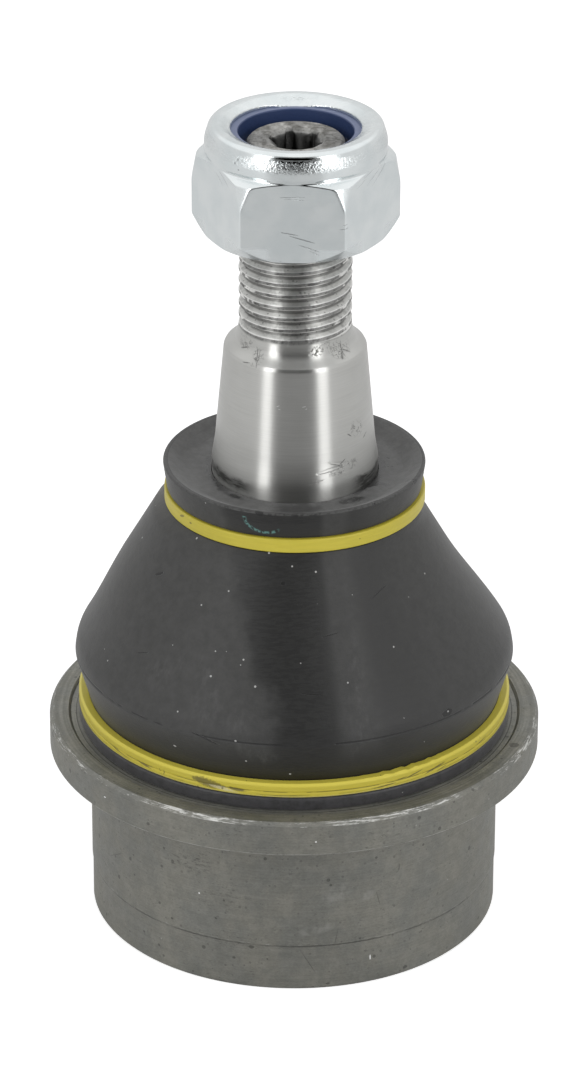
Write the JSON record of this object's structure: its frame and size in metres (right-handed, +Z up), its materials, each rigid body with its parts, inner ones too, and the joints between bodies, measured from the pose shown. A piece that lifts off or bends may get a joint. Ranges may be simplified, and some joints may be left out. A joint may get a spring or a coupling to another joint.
{
  "type": "suspension ball joint",
  "caption": "Flanged press-in suspension ball joint: tapered threaded ball stud with nylon-insert lock nut, rubber dust boot held by clamp rings, steel housing.",
  "frame": {"origin": "middle of the housing's round base, on the face that it stands on", "axes": "+Z up the stud towards the thread, +X to the right and -Y towards the viewer, with a flat of the lock nut facing -Y"},
  "size_m": [0.0618, 0.0618, 0.1059],
  "materials": {
    "turned_steel": "turned and lightly oiled, dull grey",
    "seat_plastic": "moulded acetal",
    "spring_steel": "hardened strip",
    "seal_rubber": "moulded nitrile",
    "plate_steel": "pressed sheet",
    "polished_steel": "ground and polished",
    "boot_rubber": "satin moulded rubber",
    "yellow_paint": "yellow coated spring strip",
    "zinc_plate": "bright zinc plate",
    "blue_nylon": "smooth nylon"
  },
  "bodies": {
    "housing_group": {"housing": "turned_steel", "upper_ball_seat": "seat_plastic", "disc_spring": "spring_steel", "cover_seal": "seal_rubber", "cover_plate": "plate_steel", "dust_boot": "boot_rubber", "lower_boot_ring": "yellow_paint"},
    "cup_group": {"lower_ball_seat": "seat_plastic"},
    "collar_group": {"upper_boot_ring": "yellow_paint"},
    "stud_group": {"ball_stud": "polished_steel"},
    "insert_group": {"nylon_insert": "blue_nylon"},
    "nut_group": {"lock_nut": "zinc_plate"}
  },
  "joints": [
    {"name": "swing_direction", "type": "hinge", "parent": "housing_group", "child": "cup_group", "pos_m": [0, 0, 0.024], "axis": [0, 0, 1], "continuous": true},
    {"name": "stud_swing", "type": "hinge", "parent": "cup_group", "child": "collar_group", "pos_m": [0, 0, 0.024], "axis": [1, 0, 0], "range_deg": [-25, 25], "deforming": ["dust_boot"]},
    {"name": "stud_spin", "type": "hinge", "parent": "collar_group", "child": "stud_group", "pos_m": [0, 0, 0.024], "axis": [0, 0, 1], "continuous": true},
    {"name": "nut_travel", "type": "slide", "parent": "stud_group", "child": "insert_group", "axis": [0, 0, 1], "range_m": [-0.012, 0.012]},
    {"name": "nut_turn", "type": "hinge", "parent": "insert_group", "child": "nut_group", "pos_m": [0, 0, 0.09715], "axis": [0, 0, 1], "range_deg": [-2880, 2880]}
  ],
  "couplings": [
    {"joint": "nut_travel", "follows": "nut_turn", "m_per_rad": 0.00023873}
  ]
}
